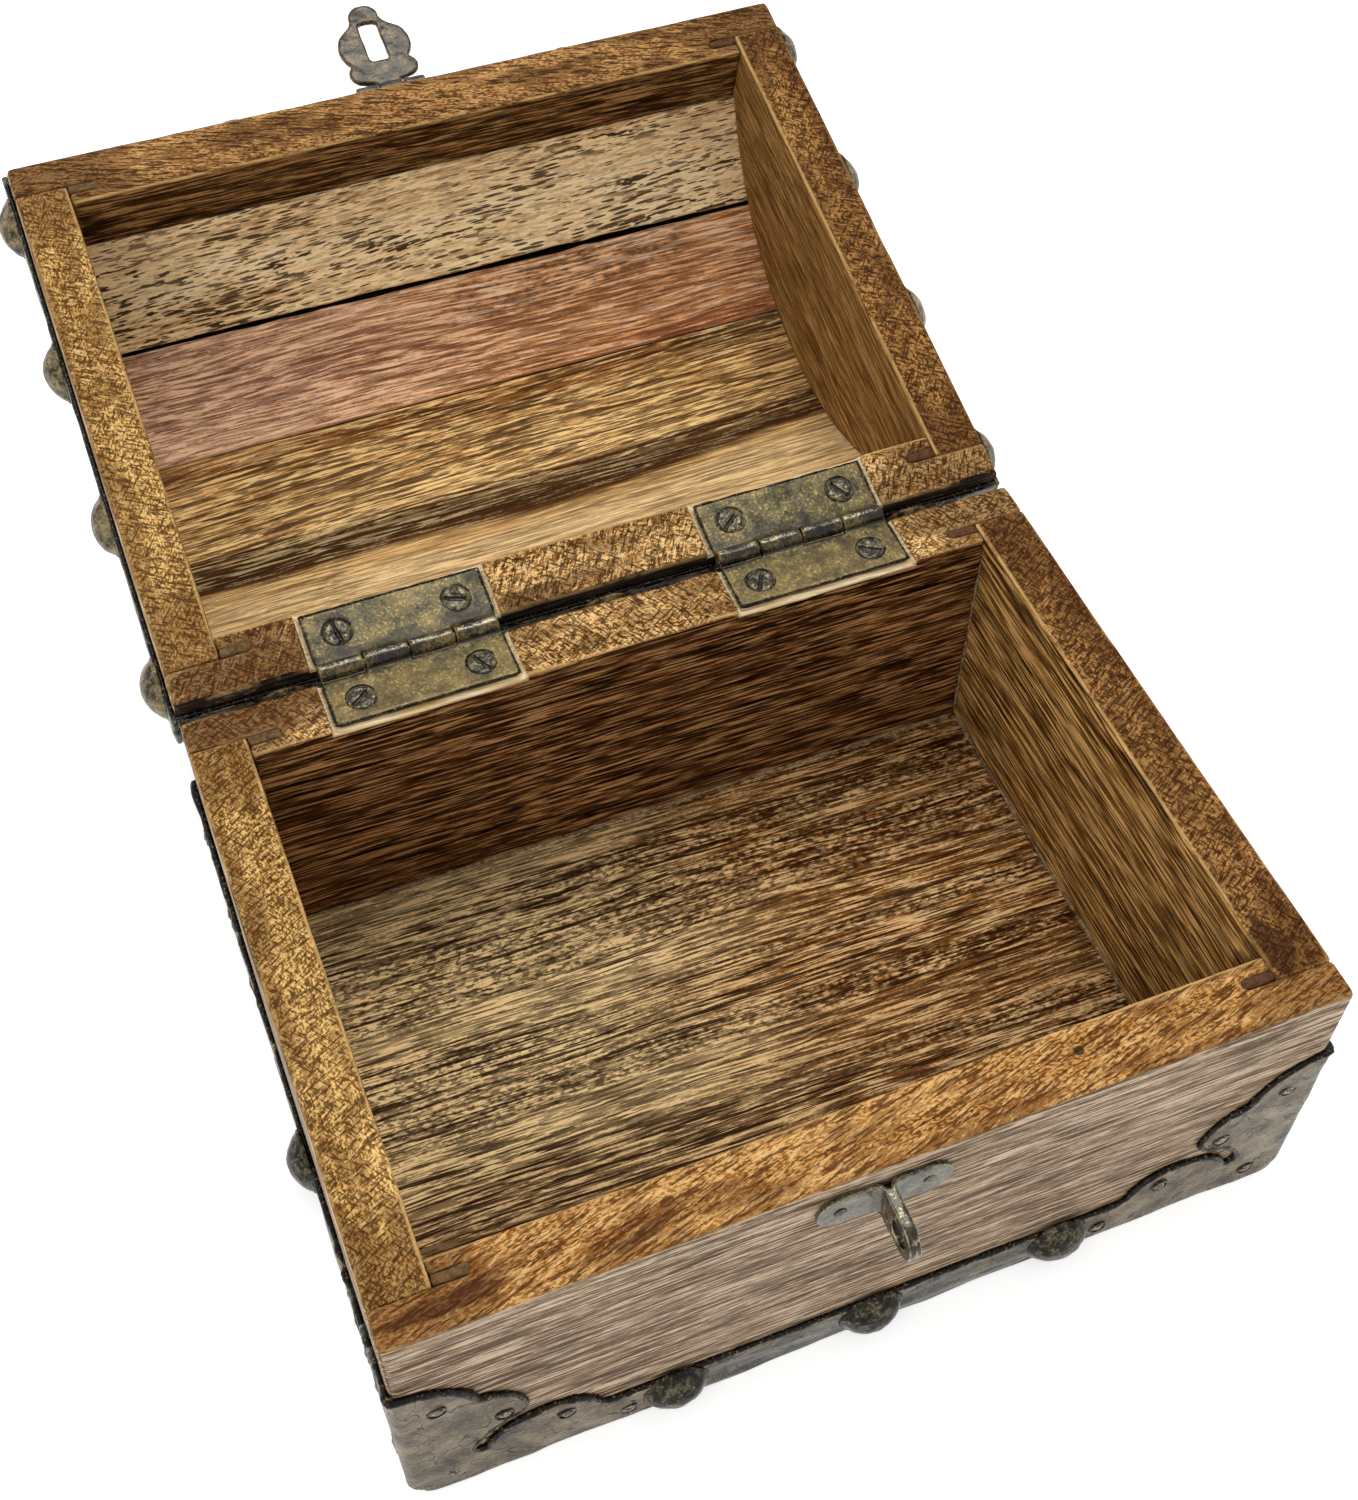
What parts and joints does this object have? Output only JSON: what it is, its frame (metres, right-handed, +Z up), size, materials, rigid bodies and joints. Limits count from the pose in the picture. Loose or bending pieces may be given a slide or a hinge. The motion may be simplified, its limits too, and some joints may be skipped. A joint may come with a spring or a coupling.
{
  "type": "wooden chest box with hinged lid",
  "caption": "Small wooden keepsake chest with a domed hinged lid, iron straps, scalloped corner brackets, domed nails and a swinging hasp over a staple.",
  "frame": {"origin": "middle of the chest's flat underside", "axes": "+Z up, +X to the right and +Y to the back as seen from the front, where the staple is"},
  "size_m": [0.1604, 0.2633, 0.0885],
  "materials": {
    "board_wood": "waxed, brown stain worn golden at the rims",
    "end_wood": "waxed, brown stain",
    "floor_wood": "bare and rubbed with dark stain",
    "roof_wood_1": "pale, open black pores",
    "roof_wood_2": "pinkish brown",
    "roof_wood_3": "golden brown with dark streaks",
    "roof_wood_4": "golden brown with dark streaks",
    "roof_wood_5": "light tan",
    "filler": "dark glue and sawdust",
    "hinge_brass": "dark bronze dusting over brass-plated steel",
    "screw_steel": "darkened",
    "strap_iron": "dark, waxed, hammered sheet",
    "nail_iron": "dark bronze, rubbed bright at the edges",
    "lock_iron": "dark olive bronze"
  },
  "bodies": {
    "chest": {"back_board": "board_wood", "body_corner_fillers": "filler", "body_hinge_screws": "screw_steel", "body_strap_back": "strap_iron", "body_strap_front": "strap_iron", "body_strap_left": "strap_iron", "body_strap_nails": "nail_iron", "body_strap_right": "strap_iron", "bracket_back_left": "strap_iron", "bracket_back_right": "strap_iron", "bracket_front_left": "strap_iron", "bracket_front_right": "strap_iron", "bracket_tacks": "strap_iron", "floor_board": "floor_wood", "front_board": "board_wood", "hinge_leaf_body_left": "hinge_brass", "hinge_leaf_body_right": "hinge_brass", "hinge_pin_left": "hinge_brass", "hinge_pin_right": "hinge_brass", "left_board": "end_wood", "right_board": "end_wood", "staple": "lock_iron", "staple_tacks": "lock_iron"},
    "lid": {"hasp_leaf": "lock_iron", "hasp_leaf_tacks": "lock_iron", "hasp_pin": "lock_iron", "hinge_leaf_lid_left": "hinge_brass", "hinge_leaf_lid_right": "hinge_brass", "lid_corner_fillers": "filler", "lid_end_left": "end_wood", "lid_end_right": "end_wood", "lid_hinge_screws": "screw_steel", "lid_rail_back": "board_wood", "lid_rail_front": "board_wood", "lid_strap_back": "strap_iron", "lid_strap_front_left": "strap_iron", "lid_strap_front_right": "strap_iron", "lid_strap_left": "strap_iron", "lid_strap_nails": "nail_iron", "lid_strap_right": "strap_iron", "roof_plank_1": "roof_wood_1", "roof_plank_2": "roof_wood_2", "roof_plank_3": "roof_wood_3", "roof_plank_4": "roof_wood_4", "roof_plank_5": "roof_wood_5"},
    "hasp": {"hasp_plate": "lock_iron"}
  },
  "joints": [
    {"name": "lid_hinge", "type": "hinge", "parent": "chest", "child": "lid", "pos_m": [0, 0.05875, 0.056], "axis": [1, 0, 0], "range_deg": [0, 164.85]},
    {"name": "hasp_hinge", "type": "hinge", "parent": "lid", "child": "hasp", "pos_m": [-0.0015, 0.17419, 0.08228], "axis": [1, 0, 0], "range_deg": [-88, 90]}
  ]
}
